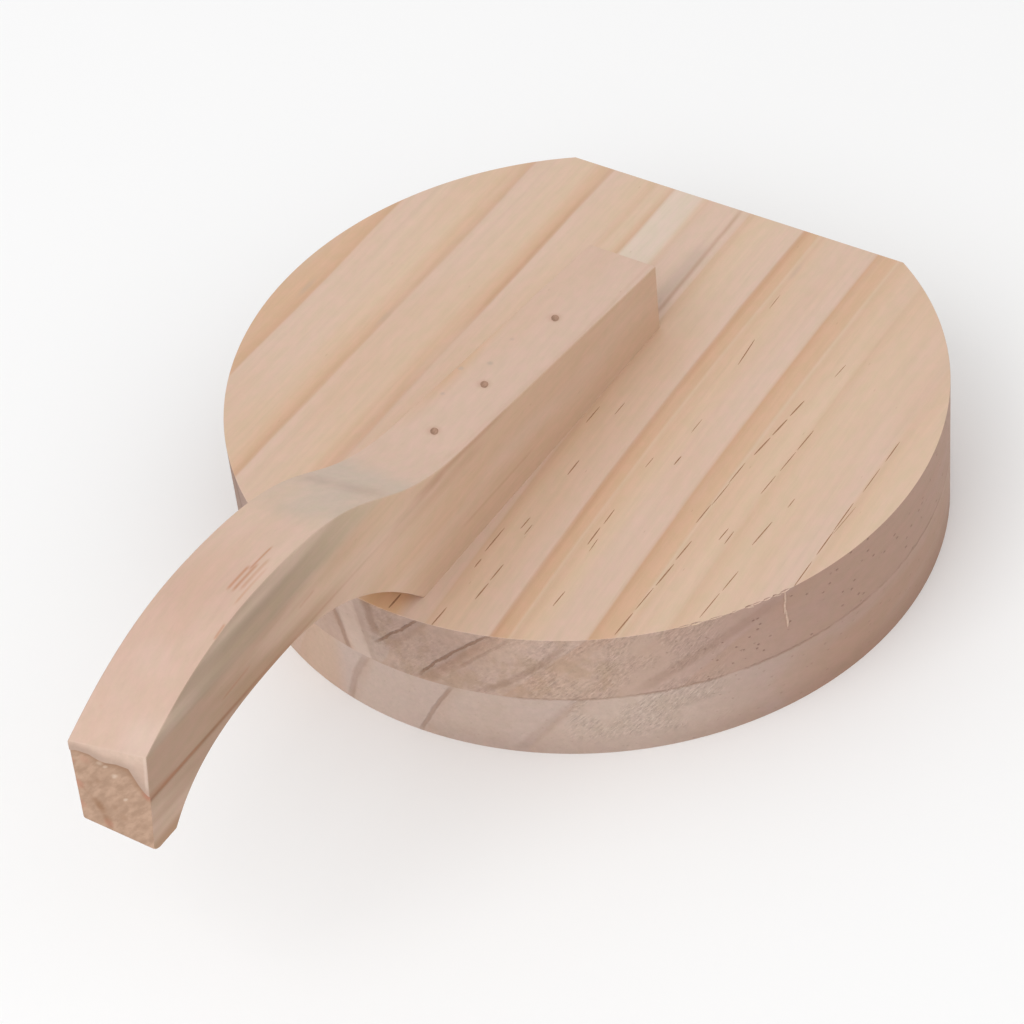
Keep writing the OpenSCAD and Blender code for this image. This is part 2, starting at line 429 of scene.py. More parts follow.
def pine(name, rings, straightened, sawn_faces):
    """Raw sawn pine, from three functions of a place in mm.

    rings gives the colour of its growth rings and how dark their lines are, straightened the
    x at which the grain would run straight. sawn_faces tells of the faces round the edge:
    where their lines are drawn from a list, how dark those are, a tint, and how torn, rough and
    pored the wood is.
    """
    paint = new_paint(name)
    x, y, z = in_mm(paint.axes(paint.place))
    lengthways, upwards = [abs(part) for part in paint.axes(paint.normal)[1:]]
    grain_x = straightened(x, y)
    grain = paint.vector(grain_x, y, z)
    wobble = paint.noise(grain, 34, 150, detail=1.0) - 0.5
    ripple = paint.noise(grain, 5, 40, detail=2.0) - 0.5
    shift = wobble * 1.8 + ripple * 1.2
    colour, line = rings(paint, grain_x + shift, y, z + shift * 0.5)
    colour = faded(paint, colour, grain)
    streaks = paint.noise(grain, 1.3, 70, detail=3.0)
    fibres = paint.noise(grain, 0.3, 7, detail=3.0, rough=0.6)
    mottle = paint.noise(grain, 2.4, 5, detail=4.0, rough=0.6)
    level = 1 + (streaks - 0.5) * 0.12 + (fibres - 0.5) * 0.09 + (mottle - 0.5) * 0.1
    colour = paint.mix(1.0, colour, level, "MULTIPLY")
    colour = flecked(paint, colour, grain, mottle)
    # end grain, where the saw cuts across the fibres
    arc = x.math("ARCTAN2", y * -1) * (BOARD_R / MM)
    drawn, dark, tint, torn, rough, pored = sawn_faces(paint, arc, z)
    end = lengthways.rise(0.2, 0.75)
    across = paint.noise(grain, 1.3, 3, detail=4.0, rough=0.65)
    flecks = paint.noise(paint.vector(arc - z, 0.0, (arc + z) * 0.3), 0.8, 1, detail=3.0, rough=0.65)
    torn = torn * paint.noise(grain, 9, 26, detail=1.0).rise(0.4, 0.56)
    pores = paint.dots(grain, 1.9, 4, 0.34, core=0.3) * pored
    blotches = paint.noise(paint.vector(arc, 0.0, z), 2.6, 1, detail=5.0, rough=0.7)
    # the flecks paint the light and shade of the torn flakes into the colour, besides their bump
    end_tone_and_shade = 1 + (across - 0.5) * 0.2 + (flecks - 0.5) * (torn * 1.1 + 0.06)
    end_tone_and_shade = end_tone_and_shade + (blotches - 0.5) * rough * 0.6
    end_colour = paint.mix(0.5, colour, END_WOOD)
    end_colour = paint.mix(line ** 3 * 0.8 * (1 - drawn), end_colour, END_LINE)
    end_colour = paint.mix(1.0, end_colour, end_tone_and_shade, "MULTIPLY")
    # pale flecks on torn wood: partly paler fibres, partly a painted highlight on the flakes
    end_colour = paint.mix(torn * flecks.rise(0.56, 0.7) * 0.6, end_colour, TORN_PALE)
    tanned = paint.noise(paint.vector(arc, 0.0, z), 8, 1, detail=3.0, rough=0.6).rise(0.48, 0.62)
    end_colour = paint.mix(tanned * rough * 0.3, end_colour, ROUGH_TAN)
    colour = paint.mix(end, colour, end_colour)
    # the faces round the edge take the rim's tint, with its painted shade
    sawn = upwards.fall(0.3, 0.8)
    colour = paint.mix(sawn, colour, tint, "MULTIPLY")
    colour = paint.mix(sawn * dark * 0.72, colour, RIM_LINE)
    colour = paint.mix(sawn * pores * 0.6, colour, END_LINE)
    along_height = fibres * 0.5 + streaks * 0.3
    end_height = across * 0.8 + flecks * (torn * 5 + 0.2) + blotches * rough * 5
    height = along_height * (1 - end) + end_height * end - sawn * (dark * 3 + pores * 2)
    return paint.set(
        Base_Color=colour,
        Roughness=WOOD_ROUGHNESS + (fibres - 0.5) * 0.2 + end * 0.12,
        Specular_IOR_Level=WOOD_SHINE,
        Normal=paint.bump(height, GRAIN_RELIEF, 0.8),
    )


# Lines on the front of the rims: angle from the front and height at both ends, width,
# bow and darkness
LID_RIM_LINES = [
    ((-10.4, 31), (-8.0, 17), 1.7, 0.0, 0.55), ((-5.7, 37), (-3.3, 18), 2.6, 0.0, 0.14),
    ((-3.7, 41), (-2.0, 27.5), 2.9, 0.0, 0.62), ((6.8, 39.5), (-2.8, 24.4), 0.75, 0.0, 1.0),
    ((8.0, 40), (-1.5, 24), 3.2, 0.0, 0.22), ((19.2, 40), (3.9, 17.5), 0.75, 1.5, 1.0),
    ((20.5, 40), (5.0, 17), 3.6, 1.5, 0.25), ((21.5, 39), (11.0, 24.5), 0.9, 0.0, 0.4),
    ((29.5, 38), (13.5, 18), 1.9, -1.7, 0.42), ((64, 37.5), (37, 18), 3.2, 1.7, 0.32),
]
LOWER_RIM_LINES = [
    ((-4.2, 20), (-9.9, -2), 2.1, 1.1, 0.42), ((11.0, 20), (3.4, -2), 1.1, 0.7, 0.6),
    ((30.5, 20), (18.5, -2), 3.0, 0.0, 0.22),
]
RIM_DEGREE = math.radians(1) * BOARD_R / MM
# The front of the rims, where the lines are drawn one by one, in mm round the rim: its two ends
# and how soft they are. The end grain is torn again round the back, which sets in softly.
FRONT = (-26 * RIM_DEGREE, 66 * RIM_DEGREE, 6)
BACK = (170, 180)


def drawn_lines(paint, arc, z, lines, wander):
    """How dark the growth lines on the front of a rim are."""
    wobble = (paint.noise(paint.vector(arc, 0.0, z), 3.5, 1, detail=4.0, rough=0.6) - 0.5) * wander
    dark = z * 0
    for (start_turn, start_z), (end_turn, end_z), width, bow, strength in lines:
        start = (start_turn * RIM_DEGREE, start_z)
        end = (end_turn * RIM_DEGREE, end_z)
        dark = dark.highest(paint.stroke(arc + wobble, z, start, end, width, bow) * strength)
    return dark


def rim_shade(paint, tint, turning, share):
    """Painted shade on the rim: darker where it has turned to the right, and darker still where it
    has turned to the left.
    """
    rightward = paint.axes(paint.normal)[0]
    tint = paint.mix(rightward.rise(turning, 1) * share, tint, SIDE_SHADE, "MULTIPLY")
    return paint.mix((rightward * -1).rise(0.3, 1), tint, LEFT_SHADE, "MULTIPLY")


def at_seam(paint, arc, z):
    """The shadow line where the boards meet, broken here and there."""
    patchy = paint.noise(paint.vector(arc, 0.0, z), 7, 1, detail=2.0).rise(0.3, 0.55)
    wobble = (paint.noise(paint.vector(arc, 0.0, 0.0), 2.5, 1, detail=3.0, rough=0.6) - 0.5) * 1.4
    right = arc.rise(14 * RIM_DEGREE, 26 * RIM_DEGREE)
    near = abs(z + wobble - (SEAM / MM - 0.1)).fall(0.05, 0.55)
    return near * (patchy * 0.45 + 0.12) * right


def lid_rim(paint, arc, z):
    """The lid's rim: from the left a pale plank, then rough, torn and pored wood, with painted shade
    under and beside the handle.
    """
    drawn = arc.band(*FRONT)
    dark = drawn_lines(paint, arc, z, LID_RIM_LINES, 2.4).highest(at_seam(paint, arc, z))
    plank_back = (-9.6 * RIM_DEGREE, 49)
    plank_front = (-4.4 * RIM_DEGREE, 8)
    plank = paint.stroke(arc, z, plank_back, plank_front, 6.8, soft=0.12)
    tint = paint.mix(plank, LID_RIM_SHADE, PLANK_SHADE)
    # painted shade on the rim's front and left, under and beside the handle, stronger higher up
    under_handle_shade = arc.fall(9 * RIM_DEGREE, 21 * RIM_DEGREE) * (z.rise(20, 30) * 0.5 + 0.5)
    tint = paint.mix(under_handle_shade, tint, DULL_FRONT, "MULTIPLY")
    torn = arc.band(24 * RIM_DEGREE, 50 * RIM_DEGREE, 6).highest(abs(arc).rise(*BACK))
    torn = torn.highest(arc.band(-2 * RIM_DEGREE, 24 * RIM_DEGREE, 3) * 0.45)
    rough = arc.band(-2 * RIM_DEGREE, 34 * RIM_DEGREE, 6)
    pored = arc.rise(40 * RIM_DEGREE, 54 * RIM_DEGREE) * 0.75 + 0.25
    return drawn, dark, rim_shade(paint, tint, 0.45, 0.92), torn, rough, pored


def lower_rim(paint, arc, z):
    """The lower board's rim: like the lid's, but smoother, and darker along its foot."""
    drawn = arc.band(*FRONT)
    dark = drawn_lines(paint, arc, z, LOWER_RIM_LINES, 1.0).highest(at_seam(paint, arc, z))
    left = arc.fall(-13 * RIM_DEGREE, -9 * RIM_DEGREE)
    tint = paint.mix(left, LOWER_RIM_SHADE, LOWER_LEFT_SHADE)
    # darker towards the foot, from the front round to the right
    darker_foot = z.fall(1, 8) * arc.rise(0, 10 * RIM_DEGREE)
    tint = paint.mix(darker_foot * 0.7, tint, DULL_FRONT, "MULTIPLY")
    torn = arc.band(30 * RIM_DEGREE, 50 * RIM_DEGREE, 6) * z.rise(3, 7)
    torn = torn.highest(abs(arc).rise(*BACK))
    rough = arc.band(6 * RIM_DEGREE, 46 * RIM_DEGREE, 10) * 0.35
    pored = arc.rise(30 * RIM_DEGREE, 50 * RIM_DEGREE) * 0.2 + 0.2
    return drawn, dark, rim_shade(paint, tint, 0.6, 0.8), torn, rough, pored


def handle_sides(paint, arc, z):
    """The handle is sawn and sanded alike on all its faces."""
    nothing = z * 0
    return nothing, nothing, PLAIN_WHITE, nothing, nothing, nothing


# Rings of the lid. The heart of the log lies in the top of the lid, near the middle, so
# the rings slope down to the middle from both sides.
LID_SLOPE_RIGHT = 1.0
LID_SLOPE_LEFT = 0.3


def lid_grain(x, y):
    """The grain drifts to the right towards the front, on the right half only."""
    return x + (y * 0.038 - y * y * 0.00023) * x.rise(-18, 4)


def lid_rings(paint, x, y, z):
    """Growth rings on both sides of the heart, and on the lid's face a brown growth line, painted
    warm shade under the handle's arch and painted grey shade behind its tail.
    """
    depth = LID_TOP / MM - z
    right = x + depth * LID_SLOPE_RIGHT
    left = depth * LID_SLOPE_LEFT - x
    right_colour, right_line = paint.ramp(right, [
        (-40, plain(PINK_WOOD)),
        *ring(6.2, 3.5, 0.35),
        *ring(22.0, 4, 0.75, behind=TAN_WOOD),
        *ring(27.0, 4, 0.3, ahead=CREAM_WOOD),
        (35.0, plain(PINK_WOOD)),
        *ring(43.0, 5, 0.5, behind=TAN_WOOD),
        *ring(49.5, 6, 0.3, ahead=CREAM_WOOD),
        *ring(58.5, 5, 0.25, ahead=CREAM_WOOD),
        *ring(79.0, 6, 0.3),
        (120, plain(CREAM_WOOD)),
    ])
    left_colour, left_line = paint.ramp(left, [
        (-40, plain(PINK_WOOD)),
        *ring(6.5, 3, 0.45, behind=PALE_WOOD),
        *ring(18.5, 2.5, 0.45, ahead=PALE_WOOD),
        *ring(24.0, 3, 0.25, ahead=CREAM_WOOD),
        *ring(37.0, 6, 0.75),
        *ring(57.0, 6, 0.65),
        *ring(80.0, 8, 0.4, behind=TAN_WOOD),
        (120, plain(TAN_WOOD)),
    ])
    side = (right - left).rise(-0.5, 0.5)
    line = left_line * (1 - side) + right_line * side
    colour = paint.mix(side, left_colour, right_colour)
    on_face = depth.fall(0.2, 1)
    # painted warm shade: the lid where it lies under the arch of the handle's heel
    patch = x.band(-8, -3, 4) * y.fall(-83, -78) * on_face
    colour = paint.mix(patch * 0.62, colour, ARCH_WARM_SHADE)
    place_x, place_y = in_mm(paint.axes(paint.place)[:2])
    # painted grey shade on the lid behind the handle's tail
    tail_shade = paint.stroke(place_x, place_y, (0.8, 62), (0.8, 22), 4.6, soft=1.0) * on_face
    colour = paint.mix(tail_shade * 0.45, colour, GREY_MARK)
    wander = (paint.noise(paint.vector(0.0, y, 0.0), 1, 16, detail=3.0, rough=0.6) - 0.5) * 0.6
    crease = paint.stroke(place_x + wander, place_y, (1.6, 82), (3.4, 14), 1.2, soft=1.0)
    return paint.mix(crease * on_face * 0.4, colour, BROWN_LINE), line


def lower_grain(x, y):
    """The grain drifts slightly, the same way all over."""
    return x + y * 0.01


def lower_rings(paint, x, y, z):
    """Growth rings of the lower board, all leaning one way."""
    depth = SEAM / MM - z
    slope = (x - 14).highest(0) * 0.012 + 0.45
    return paint.ramp(x + depth * slope, [
        (-120, plain(TAN_WOOD)),
        *ring(-84.0, 6, 0.4),
        *ring(-66.0, 6, 0.5),
        *ring(-45.0, 7, 0.4),
        *ring(-27.0, 5, 0.4),
        *ring(-7.8, 3, 0.6),
        *ring(14.7, 5, 0.7),
        *ring(43.8, 8, 0.4),
        (70, plain(CREAM_WOOD)),
        (95, plain(TAN_WOOD)),
    ])


# Streaks on top of the handle: x and y at one end, at the other end, and width
CREST_STREAKS = [
    ((0.8, -130.5), (0.8, -140), 0.7), ((2.1, -129), (2.1, -140), 0.7),
    ((3.4, -126.5), (3.4, -139), 0.8), ((5.9, -147), (6.1, -152), 0.6),
    ((1.5, -123), (1.5, -133), 0.5), ((4.6, -129), (4.7, -143), 0.6),
    ((-9.2, -172.6), (-8.0, -176), 1.0),
]
# Patches and small pits on top of the handle: x, y, size, tone and strength
TOP_PATCHES = [
    (-7.5, -178, 11, DROOP_TAN, 0.55), (3.5, -176, 9, DROOP_PALE, 0.25),
    (-4.0, -160, 9, DROOP_PALE, 0.15), (-10.0, -171, 4, DROOP_TAN, 0.4),
    (-11.2, -34.0, 1.5, GREY_MARK, 0.7), (-6.4, -28.8, 1.5, GREY_MARK, 0.7),
    (-7.2, -18.0, 1.2, GREY_MARK, 0.5), (-9.4, -44.5, 1.2, GREY_MARK, 0.6),
    (-3.2, -5.5, 3.4, BROWN_LINE, 0.3), (-3.2, -36.5, 3.4, BROWN_LINE, 0.3),
    (-3.2, -57.5, 3.4, BROWN_LINE, 0.3),
]
# Streaks on the right side of the handle: y and z at one end, at the other end, width
# and strength
SIDE_STREAKS = [
    ((-118, 73.4), (-125, 72.9), 0.7, 0.85), ((-142, 72.3), (-154, 71.2), 0.6, 0.8),
    ((-161, 66.4), (-178, 66.2), 0.9, 0.7), ((-36, 64.8), (-84, 68.0), 1.9, 0.4),
    ((-66, 66.2), (-92, 66.6), 1.8, 0.35), ((-170, 66.6), (-183, 67.5), 1.4, 0.45),
    ((-88, 66.0), (-160, 66.6), 0.8, 0.45), ((-48, 62.6), (-98, 64.4), 3.4, 0.2),
    ((-30, 44.8), (-66, 45.4), 0.9, 0.25),
]

# The rings of the handle are arcs round a heart low on its left
HANDLE_HEART_X = -13
HANDLE_HEART_Z = 44
HANDLE_DRIFT = 0.09
HANDLE_DRIFT_FROM = -70


def handle_grain(x, y):
    """The grain drifts along the back part of the handle."""
    return x + (y - HANDLE_DRIFT_FROM).highest(0) * HANDLE_DRIFT


def handle_rings(paint, x, y, z):
    """Growth rings in arcs, the marks that the saw and the hands left on each face, and painted
    shade and a painted highlight.
    """
    away_x = x - HANDLE_HEART_X
    away_z = z - HANDLE_HEART_Z
    radius = (away_x * away_x + away_z * away_z) ** 0.5
    faint = mixed(TAN_WOOD, BROWN_LINE, 0.35)
    low_colour, low_line = paint.ramp(radius, [
        (0, plain(TAN_WOOD)),
        (15.0, plain(PEACH_WOOD)),
        (15.7, (*faint[:3], 0.6)),
        (16.8, plain(TAN_WOOD)),
        (21.0, plain(TAN_WOOD)),
        (23.5, plain(PINK_WOOD)),
        (29.0, plain(PINK_WOOD)),
        (29.8, (*faint[:3], 1.0)),
        (30.4, plain(PINK_WOOD)),
        (40.0, plain(PINK_WOOD)),
    ])
    facing_x, facing_y, facing_z = [abs(part) for part in paint.axes(paint.normal)]
    on_top = facing_z.rise(0.5, 0.8)
    on_end = facing_y.rise(0.6, 0.8)
    on_side = facing_x.rise(0.5, 0.8)
    high = z.rise(71, 75)
    seen = (on_top * y.rise(-74, -60) * 0.12).highest((1 - on_top) * y.fall(-162, -120))
    seen = seen.highest(on_end)
    low_colour = paint.mix(seen.highest(x.fall(-9, -5)), PINK_WOOD, low_colour)
    line = low_line * (1 - high) * seen
    colour = paint.mix(high, low_colour, PINK_WOOD)
    colour = paint.mix(line * (1 - on_end) * 0.5, colour, BROWN_LINE)
    # grey: painted shade on the neck, which faces back and up, away from the lamp; on the sides
    # above it partly grey wood, partly painted shade
    grey_and_shade = (on_top * y.band(-108, -84, 9)).highest(on_side * z.rise(76, 79))
    colour = paint.mix(grey_and_shade, colour, GREY_WOOD_AND_SHADE)
    x, y, z = in_mm(paint.axes(paint.place))
    colour = shaded_faces(paint, colour, (x, y, z), on_top, on_side)
    lip = on_end * y.fall(-170, -160)
    colour = lip_shade_and_highlight(paint, colour, x, z, lip)
    on_right = x.rise(0, 1)
    for start, end, width in CREST_STREAKS:
        streak = paint.stroke(x, y, start, end, width, soft=0.8) * on_top * z.rise(80, 82)
        colour = paint.mix(streak * 0.75, colour, ORANGE_STREAK)
    for start, end, width, strength in SIDE_STREAKS:
        streak = paint.stroke(y, z, start, end, width, soft=1.0) * facing_x * on_right
        colour = paint.mix(streak * strength, colour, BROWN_LINE)
    tip = paint.spot(y, z, (-182.6, 67.4), 3.4) * on_side * on_right
    tip = tip.highest(paint.spot(x, z, (6.4, 67.8), 2.0) * lip * 0.6)
    colour = paint.mix(tip * 0.7, colour, RED_STAIN)
    # growth rings in the end grain of the back end
    fine_rings = ((radius + (z * 0.37).math("SINE") * 0.5) * 0.3).math("FRACT").rise(0.78, 1)
    return colour, line.highest(fine_rings * on_end * y.rise(0, 10) * 0.75)


def shaded_faces(paint, colour, place, on_top, on_side):
    """Painted shade by face: the sides warmer and darker than the top, darker still towards the
    front, with a darker band across the front of the sides; the top a little darker, more so towards
    the front; patches on the top; and a grey fold of painted shade in the neck.
    """
    x, y, z = place
    # painted shade in the fold where the neck turns
    fold_shade = paint.stroke(x, y, (-16, -96.8), (7.5, -88.0), 5.2, 0.9, 1.0) * on_top
    colour = paint.mix(fold_shade * 0.75, colour, FOLD_SHADE)
    # painted warm shade on the sides, darker still towards the front
    colour = paint.mix(on_side, colour, SIDE_WARM_SHADE, "MULTIPLY")
    front_side_shade = on_side * y.fall(-140, -85)
    colour = paint.mix(front_side_shade * 0.8, colour, FRONT_SIDE_SHADE, "MULTIPLY")
    low_side = front_side_shade * z.band(67, 74, 3) * y.rise(-165, -145)
    colour = paint.mix(low_side, colour, LOW_SIDE_SHADE, "MULTIPLY")
    # painted shade on the top, more of it towards the front
    colour = paint.mix(on_top * y.rise(-155, -140), colour, TOP_SHADE, "MULTIPLY")
    colour = paint.mix(on_top * y.fall(-150, -110), colour, DROOP_SHADE, "MULTIPLY")
    for spot_x, spot_y, size, tone, strength in TOP_PATCHES:
        patch = paint.spot(x, y, (spot_x, spot_y), size) * on_top
        colour = paint.mix(patch * strength, colour, tone)
    return colour


def lip_shade_and_highlight(paint, colour, x, z, lip):
    """The lip over the torn end has painted shade that darkens downwards to the torn edge, and a
    painted highlight down its right corner.
    """
    colour = paint.mix(lip, colour, LIP_SHADE, "MULTIPLY")
    # painted shade at the lip's foot and along the torn edge
    colour = paint.mix(lip * z.fall(73.6, 76.6) * 0.6, colour, LIP_FOOT_SHADE, "MULTIPLY")
    foot = lip * along_torn_edge(x, z, 2.6)
    colour = paint.mix(foot, colour, LIP_FOOT_SHADE, "MULTIPLY")
    # a painted highlight down the lip's right corner
    corner = paint.stroke(x, z, (6.2, 79), (6.2, 68), 1.0)
    return paint.mix(lip * corner * 0.45, colour, CORNER_HIGHLIGHT)


# The end of the handle: the edge where the saw tore the end grain off under a smooth lip,
# as x and height above the lid
TORN_EDGE = [
    (-16, 36.2), (-13.5, 36.1), (-10.5, 36.9), (-7.6, 36.6), (-5.5, 35.6), (-3.6, 35.3),
    (-1.0, 35.7), (1.9, 35.4), (3.0, 33.6), (4.1, 31.8), (5.3, 30.4), (6.6, 29.3), (9, 29.0),
]
TORN_DEPTH = 0.45
SLAB_HALF = 3


def along_torn_edge(x, z, width):
    """1 at the torn edge, fading over a width on both sides of it."""
    nearest = None
    height = z - LID_TOP / MM
    for start, end in zip(TORN_EDGE, TORN_EDGE[1:]):
        run = Vector(end) - Vector(start)
        from_start = x - start[0]
        above = height - start[1]
        along = (from_start * run.x + above * run.y) / run.length_squared
        along = along.highest(0).lowest(1)
        aside = from_start - along * run.x
        over = above - along * run.y
        away = (aside * aside + over * over) ** 0.5
        nearest = nearest.lowest(away) if nearest else away
    return nearest.fall(0, width)


# The crack across the end, painted dark with shade: x and z at both ends, width and darkness
END_CRACK = [
    ((-12.0, 63.4), (-7.6, 59.4), 0.8, 0.4), ((-8.6, 61.0), (-6.0, 56.4), 2.2, 1.0),
    ((-6.6, 57.0), (-4.0, 51.5), 1.5, 0.7),
]
# Pale flecks, red stains and the painted brown shade of hollows on the end: x, z and size, and
# strength
END_FLECKS = [(-5.5, 72.0, 1.5), (-4.3, 71.3, 1.1), (-2.0, 69.3, 1.4), (0.1, 63.6, 1.1)]
END_STAINS = [
    (-12.0, 63.2, 2.6, 0.55), (-12.3, 57.0, 2.4, 0.4), (-12.6, 70.0, 1.6, 0.35),
    (5.8, 66.9, 2.4, 0.6), (-5.4, 54.4, 2.4, 0.5), (-9.0, 71.5, 2.4, 0.2),
]
END_SHADED_HOLLOWS = [
    (-7.2, 58.7, 2.4, 0.7), (-5.5, 55.6, 2.8, 0.45), (-3.0, 60.0, 1.6, 0.25),
    (-6.8, 66.2, 1.4, 0.3), (-1.0, 58.0, 2.2, 0.25), (-9.0, 64.5, 1.6, 0.2),
]


def torn_end_grain():
    """The end of the handle, torn by the saw: rough and warm, with pale flecks, red stains, and
    painted shade under the lip, in hollows and in the crack.
    """
    paint = new_paint("torn_end_grain")
    x, z = in_mm(paint.axes(paint.place)[::2])
    slanted = paint.vector(x - z, 0.0, (x + z) * 0.38)
    tears = paint.noise(slanted, 2.2, 1, detail=5.0, rough=0.55)
    clouds = paint.noise(slanted, 5, 1, detail=2.0)
    colour = paint.mix(tears.rise(0.35, 0.65), TORN_TAN, TORN_ORANGE)
    colour = paint.mix(clouds.rise(0.45, 0.65) * 0.5, colour, TORN_TAN)
    level = 1 + (tears - 0.5) * 0.15
    colour = paint.mix(1.0, colour, level, "MULTIPLY")
    wandering = (tears - 0.5) * 1.6
    for fleck_x, fleck_z, size in END_FLECKS:
        slid = x - z * 0.6 + wandering
        fleck = paint.spot(slid, z, (fleck_x - fleck_z * 0.6, fleck_z), size)
        colour = paint.mix(fleck * 0.4, colour, TORN_PALE)
    # painted shadow on the torn end under the lip
    lip_shadow = along_torn_edge(x + 0.3, z + 0.5, 2.2)
    colour = paint.mix(lip_shadow * 0.7, colour, SHADOW_BROWN)
    # painted shade in hollows of the torn end
    for hollow_x, hollow_z, size, strength in END_SHADED_HOLLOWS:
        hollow_shade = paint.spot(x + wandering, z, (hollow_x, hollow_z), size)
        colour = paint.mix(hollow_shade * strength, colour, SHADOW_BROWN)
    for stain_x, stain_z, size, strength in END_STAINS:
        stain = paint.spot(x + wandering, z, (stain_x, stain_z), size)
        colour = paint.mix(stain * strength, colour, RED_STAIN)
    # the crack: its bump, and painted shade in it
    crack = z * 0
    for start, end, width, darkness in END_CRACK:
        split = paint.stroke(x + wandering, z, start, end, width, soft=0.9)
        crack = crack.highest(split * darkness)
    colour = paint.mix(crack * 0.6, colour, SHADOW_BROWN)
    return paint.set(
        Base_Color=colour,
        Roughness=TORN_ROUGHNESS + (tears - 0.5) * 0.2,
        Specular_IOR_Level=ROUGH_SHINE,
        Normal=paint.bump(tears + clouds - crack * 0.8, TORN_RELIEF, 0.45),
    )


def stained(name, tone):
    """Wood that resin or a driven nail has darkened."""
    paint = new_paint(name)
    specks = paint.noise(paint.place, 0.5 * MM, 1.5 * MM, 2.0)
    return paint.set(
        Base_Color=paint.mix(1.0, tone, 0.7 + specks * 0.6, "MULTIPLY"),
        Roughness=WOOD_ROUGHNESS + specks * 0.2,
        Specular_IOR_Level=ROUGH_SHINE,
    )


def metal(name, bright, under_handle_shade, roughness):
    """Bare metal, dulled in patches and rubbed along X."""
    paint = new_paint(name)
    patches = paint.noise(paint.place, 2.5 * MM, 2.5 * MM, 4.0, 0.6)
    turned = paint.node(
        "ShaderNodeMapping",
        {"vector_type": "POINT"},
        {"Vector": paint.place, "Rotation": (0, 0, math.pi / 2)},
    )
    rubbed = paint.noise(turned, 0.12 * MM, 4 * MM, 2.0)
    tarnish = patches.rise(0.4, 0.7)
    return paint.set(
        Base_Color=paint.mix(tarnish * 0.7, bright, under_handle_shade),
        Metallic=1.0,
        Roughness=roughness + tarnish * 0.18 + (rubbed - 0.5) * 0.25,
        Normal=paint.bump(rubbed * 0.4 + patches * 0.3, METAL_RELIEF, 0.6),
    )


pine_lid = pine("pine_lid", lid_rings, lid_grain, lid_rim)
pine_lower = pine("pine_lower", lower_rings, lower_grain, lower_rim)
pine_handle = pine("pine_handle", handle_rings, handle_grain, handle_sides)
torn_end = torn_end_grain()
resin = stained("resin_streak", RESIN)
brad_dent = stained("brad_dent", BRUISED)
splinter_wood = stained("splinter_wood", SPLINTER)
hinge_brass = metal("hinge_brass", *HINGE_METAL)
screw_brass = metal("screw_brass", *SCREW_METAL)
pin_steel = metal("pin_steel", *PIN_METAL)
brad_steel = metal("brad_steel", *BRAD_METAL)


# ---------------------------------------------------------------- pieces

def nothing_selected():
    """Every operator acts on what is selected, so each job starts from nothing."""
    bpy.ops.object.select_all(action="DESELECT")


def make_active(piece):
    """Selects one piece alone, for the next operator."""
    nothing_selected()
    piece.select_set(True)
    bpy.context.view_layer.objects.active = piece


def place_in_mesh(piece):
    """Moves a piece's place, turn and scale into its mesh."""
    make_active(piece)
    bpy.ops.object.transform_apply(location=True, rotation=True, scale=True)


def ease_sharp_edges(piece, width, kept_height):
    """Bevels the sharp edges, as sandpaper does, but not those at one height."""
    make_active(piece)
    bpy.ops.object.mode_set(mode="EDIT")
    bpy.ops.mesh.select_mode(type="EDGE")
    bpy.ops.mesh.select_all(action="DESELECT")
    bpy.ops.mesh.edges_select_sharp(sharpness=SHARP)
    mesh = bmesh.from_edit_mesh(piece.data)
    for edge in mesh.edges:
        if all(abs(corner.co.z - kept_height) < AT_HEIGHT for corner in edge.verts):
            edge.select_set(False)
    mesh.select_flush_mode()
    bmesh.update_edit_mesh(piece.data)
    bpy.ops.mesh.bevel(offset=width, segments=EDGE_STEPS, affect="EDGES")
    bpy.ops.object.mode_set(mode="OBJECT")


def cut(piece, cutters, crossing):
    """Cuts all cutters out of a piece. The cut walls keep the cutters' materials."""
    nothing_selected()
    for cutter in cutters:
        cutter.select_set(True)
    bpy.context.view_layer.objects.active = cutters[0]
    bpy.ops.object.join()
    tool = bpy.context.object
    make_active(piece)
    boolean = piece.modifiers.new("cut", "BOOLEAN")
    boolean.operation = "DIFFERENCE"
    boolean.solver = "EXACT"
    boolean.material_mode = "TRANSFER"
    boolean.use_self = crossing
    boolean.object = tool
    bpy.ops.object.modifier_apply(modifier=boolean.name)
    bpy.data.objects.remove(tool)


def join(piece, extras):
    """Joins extra meshes to a piece, which keeps its name."""
    nothing_selected()
    for extra in extras:
        extra.select_set(True)
    piece.select_set(True)
    bpy.context.view_layer.objects.active = piece
    bpy.ops.object.join()


def shade(piece):
    """Smooth shading over the fine steps of a curve, flat shading over real edges."""
    make_active(piece)
    bpy.ops.object.shade_smooth_by_angle(angle=FLAT_SHADED)


def round_board(name, low, high, wood):
    """A board turned round, with its back sawn flat."""
    nothing_selected()
    bpy.ops.mesh.primitive_cylinder_add(
        vertices=RIM_STEPS,
        radius=BOARD_R,
        depth=high.z - low.z,
        location=(0, 0, (low.z + high.z) / 2),
    )
    board = bpy.context.object
    board.name = name
    place_in_mesh(board)
    bpy.ops.object.mode_set(mode="EDIT")
    bpy.ops.mesh.select_all(action="SELECT")
    bpy.ops.mesh.bisect(
        plane_co=(0, FLAT_BACK, 0),
        plane_no=(0, 1, 0),
        use_fill=True,
        clear_outer=True,
    )
    bpy.ops.object.mode_set(mode="OBJECT")
    ease_sharp_edges(board, BOARD_EDGE, SEAM)
    board.data.materials.append(wood)
    return board


